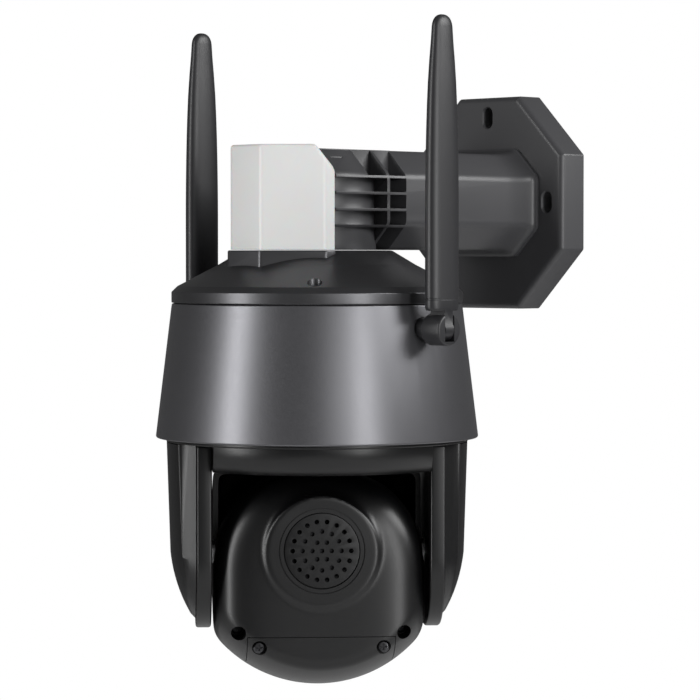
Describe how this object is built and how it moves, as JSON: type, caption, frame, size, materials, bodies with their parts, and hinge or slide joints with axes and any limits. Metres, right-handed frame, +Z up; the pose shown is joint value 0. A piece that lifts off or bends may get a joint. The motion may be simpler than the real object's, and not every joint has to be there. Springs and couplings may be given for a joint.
{
  "type": "security camera",
  "caption": "Wall-hung pan and tilt security camera: ribbed arm bracket, conical head with signal lamp, folding paddle antennas, forked yoke and tilting ball with speaker grille.",
  "frame": {"origin": "centre of the wall plate's back face", "axes": "+Y into the wall, +Z up, +X towards the right antenna"},
  "size_m": [0.171, 0.2084, 0.3078],
  "materials": {
    "bracket_plastic": "satin, fine texture",
    "cap_plastic": "satin moulded",
    "skirt_paint": "metallic satin, fine texture",
    "antenna_plastic": "satin moulded",
    "black_plastic": "satin gloss",
    "lamp_diffuser": "frosted diffuser",
    "clear_glass": "polished, dark tint",
    "circuit_board": "solder resist",
    "rubber": "matt",
    "steel": "bright zinc",
    "black_steel": "black oxide",
    "acetal": "natural acetal",
    "cell_wrap": "shrink wrap"
  },
  "bodies": {
    "housing": {"wall_plate": "bracket_plastic", "bracket_arm": "bracket_plastic", "arm_screw_upper": "steel", "arm_screw_lower": "steel", "cable_grommet": "rubber", "light_cover": "lamp_diffuser", "light_board": "circuit_board", "top_cap": "cap_plastic", "cap_screw_1": "black_steel", "cap_screw_2": "black_steel", "cap_screw_3": "black_steel", "cap_screw_4": "black_steel", "cap_seal": "rubber", "skirt_housing": "skirt_paint", "base_plate": "cap_plastic", "main_board": "circuit_board", "battery_cell_1": "cell_wrap", "battery_cell_2": "cell_wrap", "battery_cell_3": "cell_wrap", "pan_motor": "steel", "pan_bearing": "steel", "antenna_nut_left": "steel", "antenna_nut_right": "steel"},
    "antenna_barrel_left": {"antenna_base_left": "antenna_plastic", "antenna_hinge_pin_left": "steel"},
    "antenna_left": {"antenna_blade_left": "antenna_plastic"},
    "antenna_barrel_right": {"antenna_base_right": "antenna_plastic", "antenna_hinge_pin_right": "steel"},
    "antenna_right": {"antenna_blade_right": "antenna_plastic"},
    "pan_drive": {"pan_pinion": "acetal"},
    "yoke": {"yoke_disc": "black_plastic", "yoke_arm_left": "black_plastic", "yoke_arm_right": "black_plastic", "yoke_cover_left": "black_plastic", "yoke_cover_right": "black_plastic", "pan_gear": "acetal", "tilt_motor": "steel", "tilt_bush_left": "acetal", "tilt_bush_right": "acetal"},
    "tilt_drive": {"tilt_pinion": "acetal"},
    "ball": {"ball_rear_shell": "black_plastic", "ball_front_shell": "black_plastic", "card_cover": "black_plastic", "front_window": "clear_glass", "lens_barrel": "black_steel", "lens_glass": "clear_glass", "sensor_board": "circuit_board", "led_board": "circuit_board", "speaker_grille": "black_plastic", "speaker_driver": "black_steel", "card_screw_left": "black_steel", "card_screw_right": "black_steel", "shell_screw_left": "black_steel", "shell_screw_right": "black_steel", "tilt_shaft": "steel", "tilt_pin": "steel", "tilt_gear": "acetal", "memory_card": "black_plastic"},
    "button": {"reset_button": "rubber"}
  },
  "joints": [
    {"name": "pan", "type": "hinge", "parent": "housing", "child": "yoke", "pos_m": [0, -0.133, -0.16405], "axis": [0, 0, 1], "range_deg": [-46.9, 308.1]},
    {"name": "tilt", "type": "hinge", "parent": "yoke", "child": "ball", "pos_m": [0, -0.133, -0.16405], "axis": [-0.6508, -0.7593, 0], "range_deg": [0, 90]},
    {"name": "antenna_swivel_right", "type": "hinge", "parent": "housing", "child": "antenna_barrel_right", "pos_m": [0.08054, -0.133, -0.05915], "axis": [1, 0, 0], "range_deg": [-70, 180]},
    {"name": "antenna_swivel_left", "type": "hinge", "parent": "housing", "child": "antenna_barrel_left", "pos_m": [-0.08054, -0.133, -0.05915], "axis": [1, 0, 0], "range_deg": [-70, 180]},
    {"name": "antenna_fold_right", "type": "hinge", "parent": "antenna_barrel_right", "child": "antenna_right", "pos_m": [0.08054, -0.133, -0.05915], "axis": [0, 1, 0], "range_deg": [0, 90]},
    {"name": "antenna_fold_left", "type": "hinge", "parent": "antenna_barrel_left", "child": "antenna_left", "pos_m": [-0.08054, -0.133, -0.05915], "axis": [0, -1, 0], "range_deg": [0, 90]},
    {"name": "pan_drive_spin", "type": "hinge", "parent": "housing", "child": "pan_drive", "pos_m": [0, -0.1715, -0.10265], "axis": [0, 0, 1], "range_deg": [-1240, 195]},
    {"name": "tilt_drive_spin", "type": "hinge", "parent": "yoke", "child": "tilt_drive", "pos_m": [0, -0.133, -0.14165], "axis": [-0.6508, -0.7593, 0], "range_deg": [-275, 5]},
    {"name": "reset_press", "type": "slide", "parent": "ball", "child": "button", "axis": [-0.4675, 0.4007, 0.788], "range_m": [0, 0.0006], "stiffness_N_per_m": 400}
  ],
  "couplings": [
    {"joint": "pan_drive_spin", "follows": "pan", "ratio": -4},
    {"joint": "tilt_drive_spin", "follows": "tilt", "ratio": -3}
  ]
}
